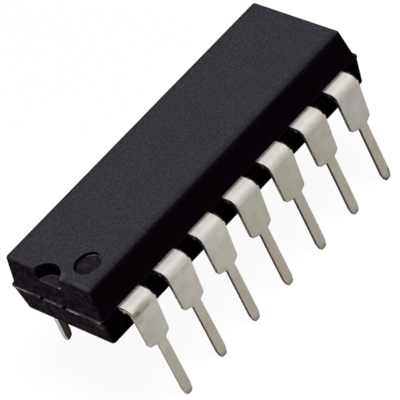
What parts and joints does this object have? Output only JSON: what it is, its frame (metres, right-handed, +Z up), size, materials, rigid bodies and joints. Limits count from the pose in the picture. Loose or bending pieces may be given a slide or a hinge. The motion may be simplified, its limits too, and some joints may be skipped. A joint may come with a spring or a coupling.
{
  "type": "dual in-line integrated circuit",
  "caption": "Small oblong moulded electronic chip with an end notch, a corner dimple and two rows of bent metal leads for a circuit board or socket.",
  "frame": {"origin": "middle of the bounding box's bottom, level with the lead tips", "axes": "+Z up through the top face, +X along the body away from the notched end, leads 1 to 7 on the -Y side"},
  "size_m": [0.0192, 0.0086, 0.0081],
  "materials": {
    "moulding": "fine matt grain",
    "lead_plating": "dull tin plate",
    "frame_metal": "bare copper alloy",
    "attach_paste": "cured silver-filled paste",
    "silicon": "polished",
    "wire_metal": "bright drawn wire"
  },
  "bodies": {
    "root": {"body": "moulding", "die_pad": "frame_metal", "die_attach": "attach_paste", "die": "silicon", "lead_1": "lead_plating", "lead_2": "lead_plating", "lead_3": "lead_plating", "lead_4": "lead_plating", "lead_5": "lead_plating", "lead_6": "lead_plating", "lead_7": "lead_plating", "lead_8": "lead_plating", "lead_9": "lead_plating", "lead_10": "lead_plating", "lead_11": "lead_plating", "lead_12": "lead_plating", "lead_13": "lead_plating", "lead_14": "lead_plating", "bond_wire_1": "wire_metal", "bond_wire_2": "wire_metal", "bond_wire_3": "wire_metal", "bond_wire_4": "wire_metal", "bond_wire_5": "wire_metal", "bond_wire_6": "wire_metal", "bond_wire_7": "wire_metal", "bond_wire_8": "wire_metal", "bond_wire_9": "wire_metal", "bond_wire_10": "wire_metal", "bond_wire_11": "wire_metal", "bond_wire_12": "wire_metal", "bond_wire_13": "wire_metal", "bond_wire_14": "wire_metal"}
  },
  "joints": []
}
